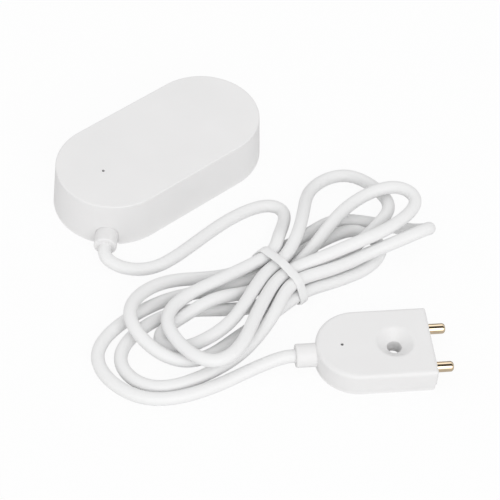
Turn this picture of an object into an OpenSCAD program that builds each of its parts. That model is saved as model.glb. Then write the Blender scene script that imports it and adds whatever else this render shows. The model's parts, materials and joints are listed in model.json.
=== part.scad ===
// Water leak sensor: a battery unit with a flat sensing probe on a tied cord.
// Millimetres, +Z up. The origin is the middle of the unit's underside, on the floor.
// The unit lies along X, with its cord leaving near the -X end. The probe lies towards -Y.

/* [Main unit] */
// Length of the unit
unit_length = 70; // [62:1:80]
// Width of the unit, and the diameter of its round ends
unit_width = 36; // [35:0.5:40]
// Height of the unit
unit_height = 15; // [14:0.5:18]
// How far the walls lean in by the top
unit_draft = 0.8; // [0.2:0.1:1]
// Rounding of the top edge
unit_edge = 0.5; // [0.2:0.1:1]
// Thickness of the wall at the top
side_wall = 1.6; // [1.2:0.1:1.8]
// Thickness of the roof
roof = 1.8; // [1.2:0.1:2.4]
// Width of the ledge that the gasket presses on
ledge = 1.2; // [0.9:0.1:1.4]
// Thickness of the base plate
plate = 2; // [1.8:0.1:2.4]
// Height of the gasket
gasket_h = 0.8; // [0.5:0.1:1]
// Diameter of the pinhole over the status light
light_hole_d = 0.9; // [0.6:0.1:1.4]
// Place of the status light, from the end's centre
light_out = 4; // [2:0.5:6]

/* [Base screws] */
// Diameter of the posts that take the screws
post_d = 5; // [4.5:0.1:5.4]
// Diameter of a screw's thread
screw_d = 1.9; // [1.5:0.1:2.2]
// Diameter of a screw's head
screw_head_d = 3.8; // [3.2:0.1:4.2]
// Height of a screw's head
screw_head_h = 1.1; // [0.8:0.1:1.2]
// Length of a screw's thread
screw_length = 7; // [5:0.5:8]

/* [Battery] */
// Diameter of the coin cell
cell_d = 20; // [16:1:20]
// Height of the coin cell
cell_h = 3.2; // [1.6:0.2:3.4]
// Thickness of the cap's disc
cap_disc = 1.6; // [1.4:0.1:1.7]
// Height of the cap's two lugs
lug_h = 1; // [0.8:0.1:1.2]
// How far the lugs stand out
lug_out = 1; // [0.8:0.1:1.2]
// Turn that frees the cap
cap_turn = 60; // [55:1:80]
// Width of the coin slot
coin_slot_w = 1.8; // [1.4:0.1:2.4]
// Length of the coin slot
coin_slot_l = 13; // [9:0.5:14]

/* [Electronics] */
// Thickness of the circuit board
board_t = 1; // [0.8:0.1:1.6]
// Width of the circuit board
board_w = 19; // [18.5:0.1:19.5]
// Length of the radio module
radio_l = 16; // [12:1:20]
// Width of the radio module
radio_w = 12; // [8:1:16]
// Height of the radio module
radio_h = 2.4; // [1.6:0.2:2.8]
// Side of the pairing switch
switch_side = 6; // [5:0.5:6]
// Height of the pairing switch
switch_h = 3.5; // [3.2:0.1:3.6]
// Diameter of the pairing button
button_d = 5; // [4:0.25:5.5]
// Travel of the pairing button
button_travel = 0.4; // [0.3:0.05:0.5]

/* [Cord] */
// Diameter of the cord
cord_d = 3.8; // [3.4:0.1:3.9]
// Diameter of the strain reliefs at both ends
relief_d = 6.7; // [6:0.1:6.8]
// How far the unit's strain relief stands out from the wall
unit_relief_out = 4.4; // [3:0.1:6]
// Direction of the unit's strain relief, from +X
relief_angle = 225; // [218:1:232]
// Height of the unit's strain relief
unit_relief_z = 3.5; // [3.4:0.1:4]
// Rounding of a strain relief's front edge
relief_edge = 0.5; // [0.3:0.1:1]
// Width of the tie's band
tie_w = 2.8; // [1.5:0.1:3]
// Thickness of the tie's band
tie_t = 0.8; // [0.5:0.1:0.8]
// Height by which the tie arches over the strands
tie_arch = 1; // [0:0.1:1.2]

/* [Probe] */
// Length of the probe without its pins
probe_length = 33; // [31:0.5:40]
// Width of the probe, and the diameter of its round end
probe_width = 24; // [22.5:0.5:28]
// Height of the probe
probe_height = 8; // [7.5:0.25:10]
// Rounding of the probe's top edge
probe_edge = 1.2; // [0.5:0.1:1.4]
// Thickness of the probe's walls
probe_wall = 1.5; // [1.2:0.1:2]
// Thickness of the probe's bottom plate
probe_plate = 1; // [0.8:0.1:1.4]
// Height of the joint between the probe's shell and its base
joint_z = 2.1; // [1.6:0.1:2.2]
// Place of the screw hole, from the round end's centre
hole_out = 10.4; // [9.5:0.1:10.8]
// Diameter of the screw hole
hole_d = 4.2; // [3:0.1:4.5]
// Diameter of the screw hole's countersink
sink_d = 10.75; // [8:0.25:11]
// Depth of the countersink
sink_deep = 2.6; // [2:0.1:3.3]
// Rounding of the countersink's rim
sink_round = 1.5; // [0.5:0.1:2]
// Diameter of the recess under the screw hole
recess_d = 7; // [6:0.1:8]
// Depth of the recess under the screw hole
recess_deep = 1.2; // [0.8:0.1:1.5]
// Wall of the post around the screw hole
hole_wall = 4; // [3.5:0.1:4]
// Diameter of a contact pin
pin_d = 3; // [2.4:0.1:3.2]
// Distance between the two pins
pin_pitch = 13.7; // [12.5:0.1:14.5]
// How far the pins stand out
pin_out = 5.2; // [3:0.1:7]
// Length of the probe's strain relief outside the wall
probe_relief_out = 5.5; // [4:0.1:8]
// Place of the probe's light, from the round end's centre
probe_light_in = 4.6; // [3:0.1:5.5]

/* [Fits] */
// Gap between pieces that fit into each other
fit = 0.2; // [0.1:0.05:0.25]
// Gap around pins, screws and light guides
close_fit = 0.05; // [0.03:0.01:0.1]

/* [Hidden] */
$fn = 64;
// A cut runs this far past the face that it opens
over = 1;

// Colours
shell_white = [0.91, 0.905, 0.9];
cord_white = [0.92, 0.92, 0.92];
seal_grey = [0.35, 0.36, 0.37];
board_green = [0.08, 0.32, 0.2];
part_black = [0.06, 0.06, 0.07];
metal_grey = [0.72, 0.72, 0.73];
pin_gold = [0.85, 0.66, 0.32];
light_smoke = [0.12, 0.12, 0.13];

// Main unit: walls, ledge and levels
end_x = (unit_length - unit_width) / 2;
unit_r = unit_width / 2;
unit_top_r = unit_r - unit_draft;
cavity_r = unit_top_r - side_wall;
seat_r = cavity_r + ledge;
seat_z = plate + gasket_h;
roof_in = unit_height - roof;
edge_steps = 6;

// Screw posts, two at each end, close to the wall
post_reach = cavity_r - post_d / 2 - fit / 2;
far_post_angle = 22.5;
near_post_angle = 81;
post_spots = [for (s = [-1, 1])
    each [[end_x + post_reach * cos(far_post_angle), s * post_reach * sin(far_post_angle)],
        [-end_x + post_reach * cos(near_post_angle), s * post_reach * sin(near_post_angle)]]];
screw_recess = screw_head_h + 0.1;

// Battery well: a cap with two lugs turns in the plate, under a ring that holds the cell
cap_r = cell_d / 2 + 0.9;
cap_low = plate - cap_disc - 0.1;
opening_r = cap_r + fit;
neck_r = cell_d / 2 + 0.3;
lug_r = cap_r + lug_out;
lug_arc = 40;
lug_gap = 0.3;
lug_z = plate + lug_gap;
groove_r = lug_r + fit;
groove_z = lug_z + lug_h + lug_gap;
entry_arc = lug_arc + 8;
ring_in_r = cell_d / 2 + 0.6;
ring_out_r = groove_r + 0.8;
// The ring keeps clear of the two posts at the far end
ring_clear = 0.4;
cell_x = post_spots[0][0]
    - sqrt((ring_out_r + post_d / 2 + ring_clear) ^ 2 - post_spots[0][1] ^ 2);
cell_z = groove_z - 0.1;
seal_h = 0.6;
seal_deep = 0.6;
slot_deep = 0.8;
contact_t = 0.4;
contact_arc = 50;
contact_h = 0.9;
contact_pad_r = 2.5;

// Circuit board, on the ring
board_z = cell_z + cell_h + contact_h;
board_top = board_z + board_t;
board_low_x = -end_x - 9;
board_high_x = cell_x + cell_d / 2 + 1.5;
light_x = -end_x - light_out;
led_size = [2, 1.4, 0.8];
pipe_flange_r = 1.5;
pipe_flange_h = 1.2;
pipe_stem_r = 1;
light_recess = 0.5;
radio_x = 8;
switch_spot = [-end_x - 1, 6];
button_low = 0.3;
button_flange_r = button_d / 2 + 0.8;
button_flange_h = 0.7;
button_stem_r = 1.5;
button_rest_gap = 0.1;

// Strain relief of the unit: a collar in a spot-faced seat, a neck and an inner flange
relief_r = relief_d / 2;
relief_seat = unit_top_r;
relief_face = unit_r + unit_relief_out;
relief_neck_r = 2.2;
relief_flange_r = 3;
relief_flange_t = 1.3;
notch_floor = 0.3;
relief_inner = sqrt(cavity_r ^ 2 - relief_flange_r ^ 2) - fit - relief_flange_t;
wire_d = 1.1;
wire_pitch = 2;
connector_size = [5, 6];
connector_out = 6;

// Probe, in its own frame: X runs from the cord to the pins
probe_x = -2.2;
probe_y = -90.8;
probe_heading = -34.3;
probe_r = probe_width / 2;
probe_end = probe_length - probe_r;
probe_in_r = probe_r - probe_wall;
probe_roof = 1.4;
probe_roof_in = probe_height - probe_roof;
probe_mid_z = probe_height / 2;
parting = 0.3;
post_r = hole_d / 2 + hole_wall;
sink_low = probe_height - sink_deep;
sink_slope = atan2(sink_deep, (sink_d - hole_d) / 2);
sink_reach = sink_d / 2 + sink_round * tan(sink_slope / 2);
probe_seat = probe_r - 0.6;
probe_relief_face = probe_r + probe_relief_out;
probe_neck_r = 2;
probe_flange_r = 2.5;
probe_flange_t = 1.1;
probe_inner = sqrt(probe_in_r ^ 2 - probe_flange_r ^ 2) - fit - probe_flange_t;
pin_tip = 0.9;
pin_collar_r = pin_d / 2 + 0.6;
pin_collar_t = 1.2;
pin_seal_r = pin_d / 2 + 1.1;
pin_seal_t = 1.2;
pin_back = 3.3;
probe_board_t = 0.8;
probe_board_gap = 0.1;
probe_board_top = probe_mid_z - pin_d / 2 - probe_board_gap;
probe_board_z = probe_board_top - probe_board_t;
probe_board_r = probe_in_r - 0.5;
probe_board_end = probe_end - probe_wall - pin_seal_t - pin_collar_t - 0.5;
probe_pipe_r = 0.9;
probe_pipe_flange_r = 1.4;
probe_pipe_flange_h = 1;
stud_r = 1.2;
stud_spots = [[-6, 5], [-6, -5], [probe_board_end - 2, 8.5], [probe_board_end - 2, -8.5]];

// Cord. A strand lies just clear of the floor, and heights in the loops are counted from there
cord_r = cord_d / 2;
lie_z = cord_r + 0.1;
relief_way = [cos(relief_angle), sin(relief_angle), 0];
probe_way = [cos(probe_heading), sin(probe_heading), 0];
unit_exit = [-end_x, 0, unit_relief_z] + relief_face * relief_way;
probe_exit = [probe_x, probe_y, probe_mid_z] - probe_relief_face * probe_way;
straight = 4;

// Free stretch from the unit to the hank
lead_points = [unit_exit, unit_exit + straight * relief_way,
    [-33.5, -24.6, lie_z], [-26.8, -30.5, lie_z], [-16.3, -30.5, lie_z], [-5.3, -29.2, lie_z],
    [6.2, -28.6, lie_z], [17, -30.8, lie_z], [19.4, -36.8, lie_z], [13.2, -42, lie_z + 1.8],
    [7, -46.5, lie_z + 5.4]];

// The waist, where the tie draws the strands into two layers
waist_x = -0.3;
waist_y = -55.9;
waist_low = cord_r + tie_t + 0.2;
waist_rise = 3.75;
waist_pitch = 4.15;
waist_half = 3.5;
// Distance from the middle at which the strands begin to fan out
neck_x = 12;

// One row for each loop of the hank, in the order of the cord: side, place in the waist as layer and
// step, then neck [y, lift], middle [y, lift] and shoulder [x, y, lift] of the run out, the end's two
// corners [x, y, lift], and shoulder, middle and neck of the run back
loops = [
    [-1, [1, 1.5], [-48.8, 4.9], [-47.8, 5], [30, -46.5, 4.9], [41.5, -50.3, 5.9], [41.5, -71.8, 6],
        [29, -72, 5.5], [-66.8, 6.5], [-62.1, 5.6]],
    [1, [1, -0.5], [-61, 6], [-64.5, 8.6], [33, -66.5, 8.5], [49.4, -64.4, 7.5], [48.1, -53.2, 7.9],
        [35.2, -48.9, 4.9], [-51.5, 5], [-55.3, 3.1]],
    [-1, [0, 0], [-54.6, 0.8], [-52.9, 6], [32, -50.7, 2.2], [42.2, -49.2, 0], [42.2, -57.8, 0],
        [31, -62.8, 4], [-61.8, 5.2], [-57.6, 6]],
    [1, [1, 0.5], [-49.8, 5.8], [-42, 4], [31, -33.2, 0], [46.4, -35.3, 0], [46, -55, 2.2],
        [36, -61.5, 7], [-61.5, 1.7], [-60.3, 0]],
    [-1, [0, -1], [-60.8, 0], [-52.4, 0], [34, -44, 0], [57.5, -46.5, 0], [56.7, -66.1, 0],
        [35.2, -70.5, 0], [-70, 0.8], [-67.4, 4.8]],
    [1, [1, -1.5], [-65.2, 4], [-66.5, 4.2], [33, -70.5, 6.7], [45.6, -73, 7.6], [44.6, -68.8, 0],
        [31, -48, 0], [-47.8, 0], [-47.7, 0]],
    [-1, [0, 2], [-45.5, 0], [-39, 0.3], [31, -36, 2.6], [48, -40.6, 7], [47.6, -58.8, 2.8],
        [37.7, -65.7, 0], [-64.5, 0], [-64.5, 0]],
    [1, [0, -2], [-66.6, 0], [-67.8, 0], [23.3, -68.8, 0], [33.2, -66.3, 0], [31.6, -55, 0],
        [25, -53, 0], [-52.2, 0], [-51.9, 0]],
    [-1, [0, 1], [-50, 0], [-44, 0], [35, -39.5, 0], [63, -40.8, 0], [61.5, -66.7, 0]]
];

// Free stretch from the hank to the probe
tail_points = [[-42.2, -74.1, lie_z], [-30.5, -75.4, lie_z], probe_exit - straight * probe_way, probe_exit];

function slot_y(spot) = waist_y + waist_pitch * spot[1];
function slot_z(spot) = waist_low + waist_rise * spot[0];
function run_points(side, neck, middle, shoulder) = [
    [side * neck_x, neck[0], lie_z + neck[1]],
    [side * (neck_x + shoulder[0]) / 2, middle[0], lie_z + middle[1]],
    [side * shoulder[0], shoulder[1], lie_z + shoulder[2]]];
function turned(points) = [for (i = [len(points) - 1:-1:0]) points[i]];
function loop_points(row) =
    let (side = row[0], y = slot_y(row[1]), z = slot_z(row[1]))
    concat(
        [[waist_x - side * waist_half, y, z], [waist_x + side * waist_half, y, z]],
        run_points(side, row[2], row[3], row[4]),
        [for (corner = [row[5], row[6]]) [side * corner[0], corner[1], lie_z + corner[2]]],
        len(row) > 7 ? turned(run_points(side, row[9], row[8], row[7])) : []);
hank_points = [for (row = loops) each loop_points(row)];
route = concat(lead_points, hank_points, tail_points);
points_per_loop = len(loop_points(loops[0]));

// The cord's smooth path: a cubic spline guided by the route, which starts and ends on it
function route_at(i) =
    i < 0 ? 2 * route[0] - route[1] :
    i >= len(route) ? 2 * route[len(route) - 1] - route[len(route) - 2] : route[i];
function path_at(t) =
    let (i = min(floor(t), len(route) - 2), u = t - i)
    ((1 - u) ^ 3 * route_at(i - 1) + (3 * u ^ 3 - 6 * u ^ 2 + 4) * route_at(i)
        + (-3 * u ^ 3 + 3 * u ^ 2 + 3 * u + 1) * route_at(i + 1) + u ^ 3 * route_at(i + 2)) / 6;
function path_way(t) =
    let (i = min(floor(t), len(route) - 2), u = t - i,
        d = -(1 - u) ^ 2 * route_at(i - 1) + (3 * u ^ 2 - 4 * u) * route_at(i)
            + (-3 * u ^ 2 + 2 * u + 1) * route_at(i + 1) + u ^ 2 * route_at(i + 2))
    d / norm(d);

// Where the free stretches meet the hank, and the rings of each piece
hank_start = len(lead_points) - 1.5;
hank_end = len(lead_points) + len(hank_points) + 0.5;
route_end = len(route) - 1;
lead_rings = 22;
tail_rings = 6;
rings_per_loop = 24;
hank_rings = round((hank_end - hank_start) * rings_per_loop / points_per_loop);
free_sides = 8;
loop_sides = 6;

// A tube around the path between two places on it
module cord_piece(from, to, rings, sides) {
    points = [for (k = [0:rings])
        let (t = from + (to - from) * k / rings, p = path_at(t), way = path_way(t),
            flat = cross(way, [0, 0, 1]), side = flat / norm(flat), up = cross(side, way))
        each [for (j = [0:sides - 1])
            p + cord_r * (cos(360 * j / sides) * side + sin(360 * j / sides) * up)]];
    last = rings * sides;
    walls = [for (k = [0:rings - 1], j = [0:sides - 1])
        let (a = k * sides + j, b = k * sides + (j + 1) % sides)
        each [[a, b, b + sides], [a, b + sides, a + sides]]];
    caps = [for (j = [1:sides - 2]) each [[0, j + 1, j], [last, last + j, last + j + 1]]];
    polyhedron(points, concat(walls, caps));
}

// Least gap between strands that are far apart along the cord, measured on points
gap_step = 0.2;
gap_skip = 3;
function least_gap() =
    let (spots = [for (t = [hank_start:gap_step:hank_end]) path_at(t)], skip = round(gap_skip / gap_step))
    min([for (a = [0:len(spots) - skip - 1])
        min([for (b = [a + skip:len(spots) - 1]) norm(spots[a] - spots[b])])]) - cord_d;
function path_length(step) =
    let (spots = [for (t = [0:step:route_end]) path_at(t)])
    [for (a = [1:len(spots) - 1]) norm(spots[a] - spots[a - 1])] * [for (a = [1:len(spots) - 1]) 1];

// A flat shape with round ends, and a solid of it between two heights
module stadium(r) {
    square([2 * end_x, 2 * r], center = true);
    for (s = [-1, 1]) translate([s * end_x, 0]) circle(r);
}
module stadium_solid(r, low, high) {
    translate([0, 0, low]) linear_extrude(high - low) stadium(r);
}
module disc(r, low, high) {
    translate([0, 0, low]) cylinder(r = r, h = high - low);
}
module block(size, low, high) {
    translate([0, 0, (low + high) / 2]) cube([size[0], size[1], high - low], center = true);
}
// A ring's sector between two radii and two heights, about the given angle
module sector(inner, outer, low, high, angle, arc) {
    rotate([0, 0, angle - arc / 2])
        rotate_extrude(angle = arc)
            translate([inner, low]) square([outer - inner, high - low]);
}

// Main unit
wall_profile = concat([[0, 0], [unit_r, 0]],
    [for (k = [0:edge_steps])
        let (a = 90 * k / edge_steps)
        [unit_top_r - unit_edge + unit_edge * cos(a), unit_height - unit_edge + unit_edge * sin(a)]],
    [[0, unit_height]]);
wall_section = concat(wall_profile, [for (k = [len(wall_profile) - 2:-1:1])
    [-wall_profile[k][0], wall_profile[k][1]]]);
module unit_outside() {
    for (s = [0, 1])
        rotate([0, 0, 180 * s]) translate([end_x, 0, 0]) rotate([0, 0, -90])
            rotate_extrude(angle = 180) polygon(wall_profile);
    translate([-end_x, 0, 0]) rotate([90, 0, 90]) linear_extrude(2 * end_x) polygon(wall_section);
}
module at_posts() {
    for (spot = post_spots) translate([spot[0], spot[1], 0]) children();
}
module at_cell() {
    translate([cell_x, 0, 0]) children();
}
// Places a piece with its axis along the unit's strain relief
module at_relief() {
    translate([-end_x, 0, unit_relief_z]) rotate([0, 0, relief_angle]) children();
}
module along_x(r, from, to) {
    translate([from, 0, 0]) rotate([0, 90, 0]) cylinder(r = r, h = to - from);
}
module relief_profile(r, length, edge) {
    square([r, length - edge]);
    translate([0, length - edge]) square([r - edge, edge]);
    translate([r - edge, length - edge]) intersection() {
        circle(edge);
        square(edge);
    }
}
module relief_collar(from, to) {
    translate([from, 0, 0]) rotate([0, 90, 0]) rotate_extrude()
        relief_profile(relief_r, to - from, relief_edge);
}

module top_shell() {
    color(shell_white) difference() {
        unit_outside();
        difference() {
            union() {
                stadium_solid(seat_r, -over, seat_z);
                stadium_solid(cavity_r, seat_z, roof_in);
            }
            at_posts() disc(post_d / 2, plate, roof_in);
        }
        at_posts() disc(screw_d / 2 + close_fit, -over, screw_recess + screw_length + over);
        translate([light_x, 0, 0]) disc(light_hole_d / 2, roof_in - over, unit_height + over);
        at_relief() {
            along_x(relief_r + close_fit, relief_seat, relief_face);
            along_x(relief_neck_r + fit, cavity_r - over, relief_face);
            translate([relief_seat, -relief_r - close_fit, -unit_relief_z - over])
                cube([unit_relief_out + unit_draft, 2 * (relief_r + close_fit), unit_relief_z + over]);
        }
    }
}
module relief_notch() {
    at_relief() translate([relief_inner - fit, -relief_flange_r - fit, notch_floor - unit_relief_z])
        cube([unit_r, 2 * (relief_flange_r + fit), 2 * unit_relief_z]);
}
module base_plate() {
    color(shell_white) difference() {
        union() {
            stadium_solid(seat_r - fit, 0, plate);
            at_cell() disc(ring_out_r, plate, board_z);
        }
        at_cell() {
            disc(opening_r, -over, plate + over);
            disc(groove_r, plate, groove_z);
            disc(ring_in_r, groove_z - over, board_z + over);
            for (s = [0, 180]) sector(neck_r, groove_r, -over, plate + over, s - cap_turn, entry_arc);
        }
        at_posts() {
            disc(screw_head_d / 2 + fit, -over, screw_recess);
            disc(screw_d / 2 + fit, -over, plate + over);
        }
        translate(switch_spot) disc(button_d / 2 + fit / 2, -over, plate + over);
        relief_notch();
    }
}
module base_gasket() {
    color(seal_grey) difference() {
        stadium_solid(seat_r - fit, plate, seat_z);
        stadium_solid(cavity_r + fit / 2, plate - over, seat_z + over);
        relief_notch();
    }
}
module base_screws() {
    driver_w = screw_head_d / 6;
    driver_l = screw_head_d * 0.6;
    driver_deep = screw_head_h / 2;
    color(metal_grey) at_posts() {
        difference() {
            disc(screw_head_d / 2, screw_recess - screw_head_h, screw_recess);
            for (a = [0, 90])
                rotate([0, 0, a])
                    block([driver_l, driver_w], -over, screw_recess - screw_head_h + driver_deep);
        }
        disc(screw_d / 2, screw_recess, screw_recess + screw_length);
    }
}
module light_pipe() {
    color(light_smoke) translate([light_x, 0, 0]) {
        disc(pipe_stem_r, board_top + led_size[2] + fit, roof_in - pipe_flange_h);
        disc(pipe_flange_r, roof_in - pipe_flange_h, roof_in);
        disc(light_hole_d / 2 - close_fit, roof_in, unit_height - light_recess);
    }
}
module main_board() {
    color(board_green) translate([board_low_x, -board_w / 2, board_z])
        cube([board_high_x - board_low_x, board_w, board_t]);
}
module radio_module() {
    color(metal_grey) translate([radio_x, 0, 0]) block([radio_l, radio_w], board_top, board_top + radio_h);
}
module status_led() {
    color("white") translate([light_x, 0, 0]) block(led_size, board_top, board_top + led_size[2]);
}
module pairing_switch() {
    color(part_black) translate(switch_spot)
        block([switch_side, switch_side], board_z - switch_h, board_z);
}
module pairing_button() {
    flange_z = plate + button_rest_gap;
    color(shell_white) translate(switch_spot) {
        disc(button_d / 2, button_low, flange_z);
        disc(button_flange_r, flange_z, flange_z + button_flange_h);
        disc(button_stem_r, flange_z + button_flange_h, board_z - switch_h - button_travel - 0.1);
    }
}
module battery_cell() {
    can_h = cell_h - 0.4;
    color(metal_grey) at_cell() {
        disc(cell_d / 2, cell_z, cell_z + can_h);
        disc(cell_d / 2 - 1.2, cell_z + can_h, cell_z + cell_h);
    }
}
module battery_contact_positive() {
    color(metal_grey) at_cell()
        sector(cell_d / 2 + close_fit, cell_d / 2 + close_fit + contact_t,
            cell_z + fit, board_z, 90, contact_arc);
}
module battery_contact_negative() {
    color(metal_grey) at_cell() disc(contact_pad_r, board_z - contact_h + close_fit, board_z);
}
module battery_cap() {
    color(shell_white) at_cell() difference() {
        union() {
            disc(cap_r, cap_low, cap_low + cap_disc);
            disc(neck_r, cap_low + cap_disc, lug_z + lug_h);
            for (s = [0, 180]) sector(neck_r - over, lug_r, lug_z, lug_z + lug_h, s, lug_arc);
        }
        seal_gap();
        block([coin_slot_l, coin_slot_w], -over, cap_low + slot_deep);
    }
}
module seal_gap() {
    middle = cap_low + cap_disc / 2;
    difference() {
        disc(cap_r + over, middle - seal_h / 2, middle + seal_h / 2);
        disc(cap_r - seal_deep, middle - seal_h, middle + seal_h);
    }
}
module cap_seal() {
    middle = cap_low + cap_disc / 2;
    color(seal_grey) at_cell() difference() {
        disc(cap_r + fit / 2, middle - seal_h / 2, middle + seal_h / 2);
        disc(cap_r - seal_deep, middle - seal_h, middle + seal_h);
    }
}
module cable_gland() {
    color(shell_white) at_relief() {
        relief_collar(relief_seat, relief_face);
        along_x(relief_neck_r, relief_inner + relief_flange_t / 2, relief_seat + over / 2);
        along_x(relief_flange_r, relief_inner, relief_inner + relief_flange_t);
    }
}
module wire_connector() {
    color("ivory") at_relief() translate([connector_out, 0, -unit_relief_z])
        block(connector_size, plate + fit, board_z);
}
module lead_wires() {
    color(part_black) at_relief() for (s = [-1, 1])
        translate([0, s * wire_pitch / 2, 0])
            along_x(wire_d / 2, connector_out + connector_size[0] / 2, relief_inner);
}

// Probe
module at_probe() {
    translate([probe_x, probe_y, 0]) rotate([0, 0, probe_heading]) children();
}
module at_pins() {
    for (s = [-1, 1]) translate([0, s * pin_pitch / 2, probe_mid_z]) children();
}
module probe_outline(r, end) {
    circle(r);
    translate([0, -r]) square([end, 2 * r]);
}
probe_profile = concat([[0, joint_z], [probe_r, joint_z]],
    [for (k = [0:edge_steps])
        let (a = 90 * k / edge_steps)
        [probe_r - probe_edge + probe_edge * cos(a), probe_height - probe_edge + probe_edge * sin(a)]],
    [[0, probe_height]]);
probe_section = concat(probe_profile, [for (k = [len(probe_profile) - 2:-1:1])
    [-probe_profile[k][0], probe_profile[k][1]]]);
sink_profile = concat([[0, sink_low], [hole_d / 2, sink_low]],
    [for (k = [edge_steps:-1:0])
        let (a = 90 + sink_slope * k / edge_steps)
        [sink_reach + sink_round * cos(a), probe_height - sink_round + sink_round * sin(a)]],
    [[sink_reach, probe_height + over], [0, probe_height + over]]);
// What falls off when a corner is rounded, seen from the round's centre
module corner_waste(r) {
    difference() {
        square(r + over);
        circle(r);
    }
}
module at_corners() {
    for (s = [0, 1])
        translate([probe_end - probe_edge, (1 - 2 * s) * (probe_r - probe_edge)])
            rotate([0, 0, -90 * s]) children();
}
module probe_outside() {
    rotate([0, 0, 90]) rotate_extrude(angle = 180) polygon(probe_profile);
    difference() {
        rotate([90, 0, 90]) linear_extrude(probe_end) polygon(probe_section);
        translate([probe_end - probe_edge, 0, probe_height - probe_edge]) rotate([90, 0, 0])
            linear_extrude(probe_width + 2 * over, center = true) corner_waste(probe_edge);
        at_corners() linear_extrude(probe_height + over) corner_waste(probe_edge);
    }
}
module probe_relief_cut() {
    translate([0, 0, probe_mid_z]) rotate([0, 0, 180]) {
        along_x(relief_r + close_fit, probe_seat, probe_relief_face);
        along_x(probe_neck_r + fit, probe_in_r - over, probe_relief_face);
    }
}
module probe_cavity(low) {
    translate([0, 0, low]) linear_extrude(probe_roof_in - low)
        probe_outline(probe_in_r, probe_end - probe_wall);
}
module probe_shell() {
    color(shell_white) at_probe() difference() {
        union() {
            difference() {
                probe_outside();
                probe_cavity(joint_z - over);
            }
            translate([hole_out, 0, 0]) disc(post_r, 0, probe_roof_in + over / 2);
        }
        translate([hole_out, 0, 0]) {
            disc(hole_d / 2, -over, probe_height + over);
            disc(recess_d / 2, -over, recess_deep);
            rotate_extrude() polygon(sink_profile);
        }
        translate([-probe_light_in, 0, 0]) disc(light_hole_d / 2, probe_roof_in - over, probe_height + over);
        at_pins() along_x(pin_d / 2 + close_fit, probe_end - probe_wall - over, probe_end + over);
        probe_relief_cut();
    }
}
module probe_base() {
    color(shell_white) at_probe() difference() {
        union() {
            difference() {
                linear_extrude(joint_z) difference() {
                    probe_outline(probe_r - parting, probe_end - parting);
                    at_corners() corner_waste(probe_edge - parting);
                }
                probe_cavity(probe_plate);
            }
            for (spot = stud_spots) translate(spot) disc(stud_r, probe_plate, probe_board_z);
        }
        translate([hole_out, 0, 0]) disc(post_r + close_fit, -over, probe_plate + over);
        probe_relief_cut();
    }
}
module probe_gland() {
    color(shell_white) at_probe() translate([0, 0, probe_mid_z]) rotate([0, 0, 180]) {
        relief_collar(probe_seat, probe_relief_face);
        along_x(probe_neck_r, probe_inner + probe_flange_t / 2, probe_seat + over / 2);
        along_x(probe_flange_r, probe_inner, probe_inner + probe_flange_t);
    }
}
module contact_pins() {
    tip = probe_end + pin_out;
    back = probe_end - probe_wall - pin_seal_t - pin_back;
    collar = probe_end - probe_wall - pin_seal_t - pin_collar_t;
    color(pin_gold) at_probe() at_pins() {
        translate([back, 0, 0]) rotate([0, 90, 0]) rotate_extrude()
            relief_profile(pin_d / 2, tip - back, pin_tip);
        along_x(pin_collar_r, collar, collar + pin_collar_t);
    }
}
module pin_seals() {
    seal = probe_end - probe_wall - pin_seal_t;
    color(seal_grey) at_probe() at_pins() difference() {
        along_x(pin_seal_r, seal, seal + pin_seal_t);
        along_x(pin_d / 2 + close_fit, seal - over, seal + pin_seal_t + over);
    }
}
module probe_board() {
    color(board_green) at_probe() translate([0, 0, probe_board_z]) linear_extrude(probe_board_t)
        difference() {
            probe_outline(probe_board_r, probe_board_end);
            translate([hole_out, 0]) circle(post_r + 2 * fit);
            translate([-probe_r, -probe_flange_r - fit])
                square([probe_r - probe_inner + fit, 2 * (probe_flange_r + fit)]);
        }
}
module probe_led() {
    color("white") at_probe() translate([-probe_light_in, 0, 0])
        block(led_size, probe_board_top, probe_board_top + led_size[2]);
}
module probe_light_pipe() {
    color(light_smoke) at_probe() translate([-probe_light_in, 0, 0]) {
        disc(probe_pipe_r, probe_board_top + led_size[2] + fit / 2, probe_roof_in - probe_pipe_flange_h);
        disc(probe_pipe_flange_r, probe_roof_in - probe_pipe_flange_h, probe_roof_in);
        disc(light_hole_d / 2 - close_fit, probe_roof_in, probe_height - light_recess);
    }
}
module probe_wires() {
    bend = wire_d;
    lead_in = wire_d / 2;
    color(part_black) at_probe() for (s = [-1, 1])
        translate([lead_in - probe_inner, s * wire_pitch / 2, 0]) {
            translate([0, 0, probe_mid_z]) along_x(wire_d / 2, -lead_in, 0);
            translate([0, 0, probe_mid_z - bend]) rotate([90, 0, 0])
                rotate_extrude(angle = 90) translate([bend, 0]) circle(wire_d / 2);
            translate([bend, 0, 0]) disc(wire_d / 2, probe_board_top, probe_mid_z - bend);
        }
}

// Cord
module cord_lead() {
    color(cord_white) cord_piece(0, hank_start, lead_rings, free_sides);
}
module cord_hank() {
    echo(least_gap = least_gap(), cord_length = path_length(gap_step));
    color(cord_white) cord_piece(hank_start, hank_end, hank_rings, loop_sides);
}
module cord_tail() {
    color(cord_white) cord_piece(hank_end, route_end, tail_rings, free_sides);
}
module waist_outline(extra) {
    strands = [for (row = loops) [slot_y(row[1]), slot_z(row[1])]];
    spots = concat(strands, [[waist_y, slot_z([1, 0]) + tie_arch]]);
    hull() for (spot = spots) translate(spot) circle(cord_r + extra, $fn = 32);
}
module cord_tie() {
    slack = 0.1;
    color(cord_white) translate([waist_x, 0, 0]) rotate([90, 0, 90]) linear_extrude(tie_w, center = true)
        difference() {
            waist_outline(slack + tie_t);
            waist_outline(slack);
        }
}

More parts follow.
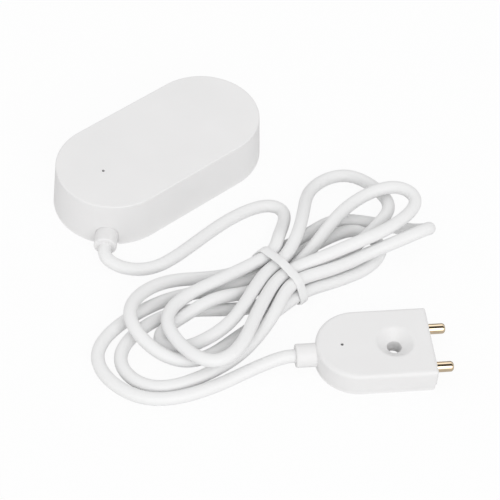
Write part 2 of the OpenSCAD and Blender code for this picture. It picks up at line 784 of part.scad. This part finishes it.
top_shell();
base_plate();
base_gasket();
base_screws();
light_pipe();
main_board();
radio_module();
status_led();
pairing_switch();
pairing_button();
battery_cell();
battery_contact_positive();
battery_contact_negative();
battery_cap();
cap_seal();
cable_gland();
wire_connector();
lead_wires();
probe_shell();
probe_base();
probe_gland();
contact_pins();
pin_seals();
probe_board();
probe_led();
probe_light_pipe();
probe_wires();
cord_lead();
cord_hank();
cord_tail();
cord_tie();
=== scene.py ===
import json
import math

import bmesh
import bpy
from mathutils import Matrix, Vector


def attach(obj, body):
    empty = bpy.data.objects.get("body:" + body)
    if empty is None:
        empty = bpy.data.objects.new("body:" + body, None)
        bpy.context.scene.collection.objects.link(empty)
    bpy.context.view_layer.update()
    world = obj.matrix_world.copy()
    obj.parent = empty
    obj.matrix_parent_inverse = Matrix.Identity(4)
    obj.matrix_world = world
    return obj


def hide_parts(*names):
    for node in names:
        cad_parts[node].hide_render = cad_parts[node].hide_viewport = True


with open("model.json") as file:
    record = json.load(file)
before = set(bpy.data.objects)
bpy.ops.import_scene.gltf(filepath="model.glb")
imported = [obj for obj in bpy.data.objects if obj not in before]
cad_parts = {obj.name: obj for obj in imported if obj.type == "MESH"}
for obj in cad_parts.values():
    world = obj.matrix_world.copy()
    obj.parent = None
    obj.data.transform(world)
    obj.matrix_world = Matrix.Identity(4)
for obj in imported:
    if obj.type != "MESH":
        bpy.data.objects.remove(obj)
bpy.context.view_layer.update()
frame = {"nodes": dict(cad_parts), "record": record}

scene = bpy.context.scene
scene.view_settings.view_transform = "Standard"
nodes = frame["nodes"]
MM = 0.001


# Camera, from the photograph's perspective

CAMERA_PLACE = Vector((-271.24, -322.238, 438.362)) * MM
CAMERA_AIM = Vector((1.791, -40.61, 0.0)) * MM
CAMERA_ROLL = math.radians(4.383)
SENSOR = 36.0
FOCAL_IN_FRAMES = 4.0
CLIP_NEAR = 0.01
CLIP_FAR = 50.0

cam_data = bpy.data.cameras.new("camera")
cam_data.sensor_width = SENSOR
cam_data.lens = FOCAL_IN_FRAMES * SENSOR
cam_data.clip_start = CLIP_NEAR
cam_data.clip_end = CLIP_FAR
camera = bpy.data.objects.new("camera", cam_data)
scene.collection.objects.link(camera)
forward = (CAMERA_AIM - CAMERA_PLACE).normalized()
level = forward.cross(Vector((0.0, 0.0, 1.0))).normalized()
rise = level.cross(forward)
right = math.cos(CAMERA_ROLL) * level + math.sin(CAMERA_ROLL) * rise
upward = right.cross(forward)
turn = Matrix((right, upward, -forward)).transposed()
camera.matrix_world = Matrix.Translation(CAMERA_PLACE) @ turn.to_4x4()
scene.camera = camera


# Helpers for shader nodes

def feed(tree, socket, value):
    # value is a number, or the output of another node
    if isinstance(value, float):
        socket.default_value = value
    else:
        tree.links.new(value, socket)


def math_node(tree, operation, first, second):
    node = tree.nodes.new("ShaderNodeMath")
    node.operation = operation
    feed(tree, node.inputs[0], first)
    feed(tree, node.inputs[1], second)
    return node.outputs[0]


def map_range(tree, value, from_low, from_high, to_low, to_high):
    node = tree.nodes.new("ShaderNodeMapRange")
    node.inputs["From Min"].default_value = from_low
    node.inputs["From Max"].default_value = from_high
    node.inputs["To Min"].default_value = to_low
    node.inputs["To Max"].default_value = to_high
    tree.links.new(value, node.inputs["Value"])
    return node.outputs["Result"]


def blend(tree, share, first, second):
    node = tree.nodes.new("ShaderNodeMix")
    node.data_type = "FLOAT"
    tree.links.new(share, node.inputs[0])
    feed(tree, node.inputs[2], first)
    feed(tree, node.inputs[3], second)
    return node.outputs[0]


def blend_shaders(tree, share, first, second):
    node = tree.nodes.new("ShaderNodeMixShader")
    tree.links.new(share, node.inputs["Fac"])
    tree.links.new(first.outputs[0], node.inputs[1])
    tree.links.new(second.outputs[0], node.inputs[2])
    return node


def colours(tree, value, stops):
    node = tree.nodes.new("ShaderNodeValToRGB")
    ramp = node.color_ramp
    while len(ramp.elements) < len(stops):
        ramp.elements.new(0.5)
    for element, (place, colour) in zip(ramp.elements, stops):
        element.position = place
        element.color = (*colour, 1.0)
    tree.links.new(value, node.inputs["Fac"])
    return node.outputs["Color"]


# Materials: noise patterns in object space, with most of their values between two limits

NOISE_LOW = 0.3
NOISE_HIGH = 0.7


def noise(tree, coords, size, detail, rough=0.55):
    # size is the width of the pattern's spots in metres
    node = tree.nodes.new("ShaderNodeTexNoise")
    node.inputs["Scale"].default_value = 1.0 / size
    node.inputs["Detail"].default_value = detail
    node.inputs["Roughness"].default_value = rough
    tree.links.new(coords, node.inputs["Vector"])
    return node.outputs["Fac"]


def spread(tree, value, low, high):
    return map_range(tree, value, NOISE_LOW, NOISE_HIGH, low, high)


def tones(tree, value, colour, low, high):
    # the colour, from low to high times as bright
    return colours(tree, value, [
        (place, tuple(channel * factor for channel in colour))
        for place, factor in ((NOISE_LOW, low), (NOISE_HIGH, high))
    ])


def bump(tree, height, depth, under=None):
    node = tree.nodes.new("ShaderNodeBump")
    node.inputs["Strength"].default_value = 1.0
    node.inputs["Distance"].default_value = depth
    tree.links.new(height, node.inputs["Height"])
    if under is not None:
        tree.links.new(under, node.inputs["Normal"])
    return node.outputs["Normal"]


def surface(name, tone, gloss, normal):
    # tone, gloss and normal each make their own input's value from the object's coordinates
    mat = bpy.data.materials.new(name)
    mat.use_nodes = True
    tree = mat.node_tree
    shader = tree.nodes["Principled BSDF"]
    coords = tree.nodes.new("ShaderNodeTexCoord").outputs["Object"]
    tree.links.new(tone(tree, coords), shader.inputs["Base Color"])
    tree.links.new(gloss(tree, coords), shader.inputs["Roughness"])
    tree.links.new(normal(tree, coords), shader.inputs["Normal"])
    return mat, shader


# Moulded plastic: fine even grain, a faint drift of tone and of gloss

PLASTIC_TONE = 0.018
PLASTIC_GLOSS = 0.006
PLASTIC_GLOSS_SWING = 0.04
PLASTIC_FLOW = 0.012
PLASTIC_FLOW_DEPTH = 0.00006
PLASTIC_SPECULAR = 0.35


def plastic(name, colour, rough, grain, grain_depth, drift):
    def tone(tree, coords):
        return tones(tree, noise(tree, coords, PLASTIC_TONE, 2.0), colour, 1.0 - drift, 1.0 + drift)

    def gloss(tree, coords):
        spots = noise(tree, coords, PLASTIC_GLOSS, 4.0)
        return spread(tree, spots, rough - PLASTIC_GLOSS_SWING, rough + PLASTIC_GLOSS_SWING)

    def normal(tree, coords):
        flow = bump(tree, noise(tree, coords, PLASTIC_FLOW, 1.0), PLASTIC_FLOW_DEPTH)
        return bump(tree, noise(tree, coords, grain, 3.0, 0.6), grain_depth, flow)

    mat, shader = surface(name, tone, gloss, normal)
    shader.inputs["Specular IOR Level"].default_value = PLASTIC_SPECULAR
    return mat


# Metal: fine scratches, small patches of tone and of gloss

METAL_TONE = 0.0022
METAL_TONE_SWING = (0.93, 1.04)
METAL_GLOSS = 0.0009
METAL_GLOSS_SWING = (0.7, 1.35)


def metal(name, colour, rough, scratch, scratch_depth):
    def tone(tree, coords):
        return tones(tree, noise(tree, coords, METAL_TONE, 3.0), colour, *METAL_TONE_SWING)

    def gloss(tree, coords):
        low, high = METAL_GLOSS_SWING
        return spread(tree, noise(tree, coords, METAL_GLOSS, 4.0), rough * low, rough * high)

    def normal(tree, coords):
        return bump(tree, noise(tree, coords, scratch, 4.0, 0.65), scratch_depth)

    mat, shader = surface(name, tone, gloss, normal)
    shader.inputs["Metallic"].default_value = 1.0
    return mat


# One row for each plastic: slot, colour, roughness, width and depth of the grain, drift of tone
PLASTICS = (
    ("shell", (0.80, 0.795, 0.795), 0.42, 0.00026, 0.000010, 0.012),
    ("relief", (0.81, 0.805, 0.805), 0.52, 0.00018, 0.000012, 0.012),
    ("cord", (0.83, 0.83, 0.83), 0.46, 0.00045, 0.000012, 0.012),
    ("tie", (0.82, 0.82, 0.82), 0.40, 0.00035, 0.000006, 0.012),
    ("seal", (0.10, 0.10, 0.105), 0.66, 0.00020, 0.000014, 0.06),
    ("black_plastic", (0.03, 0.03, 0.03), 0.50, 0.00020, 0.000010, 0.08),
    ("connector", (0.75, 0.73, 0.66), 0.40, 0.00020, 0.000006, 0.012),
    ("wire", (0.04, 0.04, 0.04), 0.38, 0.00025, 0.000006, 0.06),
    ("led", (0.85, 0.85, 0.80), 0.16, 0.00030, 0.000002, 0.012),
    ("light_guide", (0.05, 0.05, 0.055), 0.12, 0.00030, 0.000002, 0.10),
    ("board", (0.02, 0.12, 0.06), 0.34, 0.00030, 0.000006, 0.10),
)
# One row for each metal: slot, colour, roughness, width and depth of the scratches
METALS = (
    ("steel", (0.55, 0.55, 0.56), 0.30, 0.00016, 0.000004),
    ("gold", (0.86, 0.70, 0.50), 0.06, 0.00022, 0.000001),
)

finish = {row[0]: plastic(*row) for row in PLASTICS}
finish.update({row[0]: metal(*row) for row in METALS})
for subpart in frame["record"]["subparts"]:
    mesh = nodes[subpart["node"]].data
    mesh.materials.clear()
    mesh.materials.append(finish[subpart["material_slot"]])


# The cord: its route in millimetres, as the model has it

CORD_D = 3.8
CORD_R = CORD_D / 2
TIE_T = 0.8
FLOOR_GAP = 0.1
LIE_Z = CORD_R + FLOOR_GAP
STRAIGHT = 4.0
UNIT_END = Vector((-17.0, 0.0, 3.5))
UNIT_TURN = 225.0
UNIT_REACH = 22.4
PROBE_END = Vector((-2.2, -90.8, 4.0))
PROBE_TURN = -34.3
PROBE_REACH = 17.5
SPLINE_STEPS = 16
ROUND_STEPS = 8


def flat_way(degrees):
    angle = math.radians(degrees)
    return Vector((math.cos(angle), math.sin(angle), 0.0))


relief_way = flat_way(UNIT_TURN)
probe_way = flat_way(PROBE_TURN)
unit_exit = UNIT_END + UNIT_REACH * relief_way
probe_exit = PROBE_END - PROBE_REACH * probe_way

lead_points = [unit_exit, unit_exit + STRAIGHT * relief_way]
lead_points += [
    Vector((x, y, LIE_Z + lift))
    for x, y, lift in (
        (-33.5, -24.6, 0), (-26.8, -30.5, 0), (-16.3, -30.5, 0), (-5.3, -29.2, 0), (6.2, -28.6, 0),
        (17, -30.8, 0), (19.4, -36.8, 0), (13.2, -42, 1.8), (7, -46.5, 5.4),
    )
]

WAIST_X = -0.3
WAIST_Y = -55.9
WAIST_GAP = 0.2
WAIST_LOW = CORD_R + TIE_T + WAIST_GAP
WAIST_RISE = 3.75
WAIST_PITCH = 4.15
WAIST_HALF = 3.5
NECK_X = 12.0

# One row for each loop: side, layer and step in the waist, run out, the end's two corners, run back.
# A run has its neck and middle as y and lift, and its shoulder as x, y and lift.
LOOPS = (
    (-1, (1, 1.5), ((-48.8, 4.9), (-47.8, 5), (30, -46.5, 4.9)),
     ((41.5, -50.3, 5.9), (41.5, -71.8, 6)), ((29, -72, 5.5), (-66.8, 6.5), (-62.1, 5.6))),
    (1, (1, -0.5), ((-61, 6), (-64.5, 8.6), (33, -66.5, 8.5)),
     ((49.4, -64.4, 7.5), (48.1, -53.2, 7.9)), ((35.2, -48.9, 4.9), (-51.5, 5), (-55.3, 3.1))),
    (-1, (0, 0), ((-54.6, 0.8), (-52.9, 6), (32, -50.7, 2.2)),
     ((42.2, -49.2, 0), (42.2, -57.8, 0)), ((31, -62.8, 4), (-61.8, 5.2), (-57.6, 6))),
    (1, (1, 0.5), ((-49.8, 5.8), (-42, 4), (31, -33.2, 0)),
     ((46.4, -35.3, 0), (46, -55, 2.2)), ((36, -61.5, 7), (-61.5, 1.7), (-60.3, 0))),
    (-1, (0, -1), ((-60.8, 0), (-52.4, 0), (34, -44, 0)),
     ((57.5, -46.5, 0), (56.7, -66.1, 0)), ((35.2, -70.5, 0), (-70, 0.8), (-67.4, 4.8))),
    (1, (1, -1.5), ((-65.2, 4), (-66.5, 4.2), (33, -70.5, 6.7)),
     ((45.6, -73, 7.6), (44.6, -68.8, 0)), ((31, -48, 0), (-47.8, 0), (-47.7, 0))),
    (-1, (0, 2), ((-45.5, 0), (-39, 0.3), (31, -36, 2.6)),
     ((48, -40.6, 7), (47.6, -58.8, 2.8)), ((37.7, -65.7, 0), (-64.5, 0), (-64.5, 0))),
    (1, (0, -2), ((-66.6, 0), (-67.8, 0), (23.3, -68.8, 0)),
     ((33.2, -66.3, 0), (31.6, -55, 0)), ((25, -53, 0), (-52.2, 0), (-51.9, 0))),
    (-1, (0, 1), ((-50, 0), (-44, 0), (35, -39.5, 0)),
     ((63, -40.8, 0), (61.5, -66.7, 0)), None),
)


def slot(place):
    layer, step = place
    return WAIST_Y + WAIST_PITCH * step, WAIST_LOW + WAIST_RISE * layer


def run_points(side, neck, middle, shoulder):
    return [
        Vector((side * NECK_X, neck[0], LIE_Z + neck[1])),
        Vector((side * (NECK_X + shoulder[0]) / 2, middle[0], LIE_Z + middle[1])),
        Vector((side * shoulder[0], shoulder[1], LIE_Z + shoulder[2])),
    ]


def loop_points(row):
    side, place, out, corners, back = row
    y, z = slot(place)
    points = [Vector((WAIST_X + end * side * WAIST_HALF, y, z)) for end in (-1, 1)]
    points += run_points(side, *out)
    points += [Vector((side * x, y, LIE_Z + lift)) for x, y, lift in corners]
    if back:
        shoulder, middle, neck = back
        points += reversed(run_points(side, neck, middle, shoulder))
    return points


tail_points = [Vector((-42.2, -74.1, LIE_Z)), Vector((-30.5, -75.4, LIE_Z))]
tail_points += [probe_exit - STRAIGHT * probe_way, probe_exit]

route = list(lead_points)
for row in LOOPS:
    route += loop_points(row)
route += tail_points


def smooth_path(points, steps):
    # a uniform cubic spline that starts and ends on the first and last point
    guide = [2 * points[0] - points[1], *points, 2 * points[-1] - points[-2]]
    places = []
    for i in range(len(points) - 1):
        a, b, c, d = guide[i:i + 4]
        for k in range(steps):
            u = k / steps
            places.append((
                (1 - u) ** 3 * a + (3 * u ** 3 - 6 * u ** 2 + 4) * b
                + (-3 * u ** 3 + 3 * u ** 2 + 3 * u + 1) * c + u ** 3 * d
            ) / 6)
    places.append(points[-1].copy())
    return places


path = smooth_path(route, SPLINE_STEPS)

curve = bpy.data.curves.new("cord", "CURVE")
curve.dimensions = "3D"
curve.bevel_depth = CORD_R * MM
curve.bevel_resolution = ROUND_STEPS
curve.use_fill_caps = True
spline = curve.splines.new("POLY")
spline.points.add(len(path) - 1)
for target, place in zip(spline.points, path):
    target.co = (*(place * MM), 1.0)
spline.use_smooth = True
curve.materials.append(finish["cord"])
cord = bpy.data.objects.new("cord", curve)
scene.collection.objects.link(cord)
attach(cord, "sensor")
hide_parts("cord_lead", "cord_hank", "cord_tail")


# The tie: a soft-edged band drawn round the waist of the hank

TIE_W = 2.8
TIE_SLACK = 0.1
TIE_ARCH = 1.0
TIE_SOFT = 0.7
TIE_RINGS = 160
TIE_SIDES = 20
OUTLINE_STEPS = 720
SHORTEST = 1e-9


def waist_outline(offset, count):
    # the outline of all strands in the waist, seen along the cord, as evenly spaced points;
    # the stiff band arches a little over the top layer
    spots = [slot(row[1]) for row in LOOPS]
    spots.append((WAIST_Y, WAIST_LOW + WAIST_RISE + TIE_ARCH))
    corners = []
    for k in range(OUTLINE_STEPS):
        way = flat_way(360 * k / OUTLINE_STEPS)
        far = max(spots, key=lambda spot: spot[0] * way.x + spot[1] * way.y)
        corners.append(Vector((far[0] + offset * way.x, far[1] + offset * way.y)))
    corners.append(corners[0])
    lengths = [0.0]
    for a, b in zip(corners, corners[1:]):
        lengths.append(lengths[-1] + (b - a).length)
    outline = []
    k = 0
    for n in range(count):
        want = lengths[-1] * n / count
        while lengths[k + 1] < want:
            k += 1
        part = (want - lengths[k]) / max(lengths[k + 1] - lengths[k], SHORTEST)
        outline.append(corners[k].lerp(corners[k + 1], part))
    return outline


def soften(value):
    # turns the round section of the band into a rectangle with soft corners
    return math.copysign(abs(value) ** TIE_SOFT, value)


def make_tie():
    outline = waist_outline(CORD_R + TIE_SLACK + TIE_T / 2, TIE_RINGS)
    bm = bmesh.new()
    rings = []
    for k in range(TIE_RINGS):
        along = (outline[(k + 1) % TIE_RINGS] - outline[k - 1]).normalized()
        out = Vector((along.y, -along.x))
        ring = []
        for j in range(TIE_SIDES):
            angle = 2 * math.pi * j / TIE_SIDES
            across = soften(math.cos(angle)) * TIE_W / 2
            deep = soften(math.sin(angle)) * TIE_T / 2
            place = outline[k] + deep * out
            ring.append(bm.verts.new(Vector((WAIST_X + across, place.x, place.y)) * MM))
        rings.append(ring)
    for k in range(TIE_RINGS):
        a, b = rings[k], rings[(k + 1) % TIE_RINGS]
        for j in range(TIE_SIDES):
            n = (j + 1) % TIE_SIDES
            face = bm.faces.new((a[j], a[n], b[n], b[j]))
            face.smooth = True
    bmesh.ops.recalc_face_normals(bm, faces=bm.faces)
    mesh = bpy.data.meshes.new("cord_band")
    bm.to_mesh(mesh)
    bm.free()
    mesh.materials.append(finish["tie"])
    made = bpy.data.objects.new("cord_band", mesh)
    scene.collection.objects.link(made)
    return made


tie = make_tie()
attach(tie, "sensor")
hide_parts("cord_tie")


# Floor: pale, nearly white to the eye, with a faint shadow; clear from below, where it would
# hide the underside

FLOOR_REACH = 6.0
FLOOR_Z = -0.0001
FLOOR_NEAR = 0.0012
FLOOR_GREY = 0.84
FLOOR_WHITE_SHARE = 0.92
FLOOR_MIRRORED = 0.55

floor_mesh = bpy.data.meshes.new("floor")
floor_corners = [
    (FLOOR_REACH * x, FLOOR_REACH * y, FLOOR_Z) for x, y in ((-1, -1), (1, -1), (1, 1), (-1, 1))
]
floor_mesh.from_pydata(floor_corners, [], [(0, 1, 2, 3)])
floor = bpy.data.objects.new("floor", floor_mesh)
scene.collection.objects.link(floor)


def floor_material():
    mat = bpy.data.materials.new("floor")
    mat.use_nodes = True
    tree = mat.node_tree
    tree.nodes.clear()
    ray = tree.nodes.new("ShaderNodeLightPath")
    plain = tree.nodes.new("ShaderNodeBsdfDiffuse")
    plain.inputs["Color"].default_value = (FLOOR_GREY, FLOOR_GREY, FLOOR_GREY, 1.0)
    # white to the eye, and greyer in reflections
    white = tree.nodes.new("ShaderNodeEmission")
    strength = map_range(tree, ray.outputs["Is Glossy Ray"], 0.0, 1.0, 1.0, FLOOR_MIRRORED)
    tree.links.new(strength, white.inputs["Strength"])
    either = math_node(tree, "MAXIMUM", ray.outputs["Is Camera Ray"], ray.outputs["Is Glossy Ray"])
    share = math_node(tree, "MULTIPLY", either, FLOOR_WHITE_SHARE)
    above = blend_shaders(tree, share, plain, white)
    # rays that meet the floor after a very short way pass it too, so the underside is lit
    near = math_node(tree, "LESS_THAN", ray.outputs["Ray Length"], FLOOR_NEAR)
    behind = tree.nodes.new("ShaderNodeNewGeometry").outputs["Backfacing"]
    through = math_node(tree, "MAXIMUM", behind, near)
    whole = blend_shaders(tree, through, above, tree.nodes.new("ShaderNodeBsdfTransparent"))
    out = tree.nodes.new("ShaderNodeOutputMaterial")
    tree.links.new(whole.outputs[0], out.inputs["Surface"])
    return mat


floor_mesh.materials.append(floor_material())


# Light: a pale world, a little stronger from the unit's strain relief end, and two large soft lamps

WORLD_RELIEF_END = 0.96
WORLD_FAR_END = 0.70
PIN_FRONT = (-0.564, -0.826, 0.0)
# What reflections show, over half a turn from the pins' front, across the top, to their back
PIN_GREYS = (
    (0.0, 1.3), (0.28, 1.3), (0.34, 0.6), (0.38, 0.06), (0.56, 0.06), (0.62, 0.5), (0.68, 1.0),
    (0.84, 1.0), (0.9, 0.15),
)
# One row for each lamp: name, place, width, power
LAMPS = (
    ("front", (-0.70, -1.90, 1.50), 1.7, 18.0),
    ("back", (0.70, 1.00, 1.60), 1.2, 1.6),
)
LAMP_AIM = Vector((0.0, -0.045, 0.0))

world = bpy.data.worlds.new("world")
scene.world = world
world.use_nodes = True


def light_world(tree):
    way = tree.nodes.new("ShaderNodeTexCoord").outputs["Generated"]
    split = tree.nodes.new("ShaderNodeSeparateXYZ")
    tree.links.new(way, split.inputs[0])
    plain = map_range(tree, split.outputs["X"], -1.0, 1.0, WORLD_RELIEF_END, WORLD_FAR_END)
    # reflections, chiefly on the pins, show a bright front, a dark strip overhead and a pale back
    front = tree.nodes.new("ShaderNodeVectorMath")
    front.operation = "DOT_PRODUCT"
    front.inputs[1].default_value = PIN_FRONT
    tree.links.new(way, front.inputs[0])
    angle = math_node(tree, "ARCTAN2", split.outputs["Z"], front.outputs["Value"])
    round_the_pins = map_range(tree, angle, 0.0, math.pi, 0.0, 1.0)
    stops = [(place, (grey, grey, grey)) for place, grey in PIN_GREYS]
    mirrored = colours(tree, round_the_pins, stops)
    ray = tree.nodes.new("ShaderNodeLightPath")
    lit = blend(tree, ray.outputs["Is Glossy Ray"], plain, mirrored)
    shown = math_node(tree, "MAXIMUM", ray.outputs["Is Camera Ray"], ray.outputs["Is Transmission Ray"])
    background = tree.nodes["Background"]
    tree.links.new(blend(tree, shown, lit, 1.0), background.inputs["Strength"])
    background.inputs["Color"].default_value = (1.0, 1.0, 1.0, 1.0)


def soft_lamp(name, place, size, power):
    data = bpy.data.lights.new(name, "AREA")
    data.shape = "SQUARE"
    data.size = size
    data.energy = power
    lamp = bpy.data.objects.new(name, data)
    lamp.location = place
    lamp.rotation_euler = (LAMP_AIM - Vector(place)).to_track_quat("-Z", "Y").to_euler()
    scene.collection.objects.link(lamp)


light_world(world.node_tree)
for row in LAMPS:
    soft_lamp(*row)
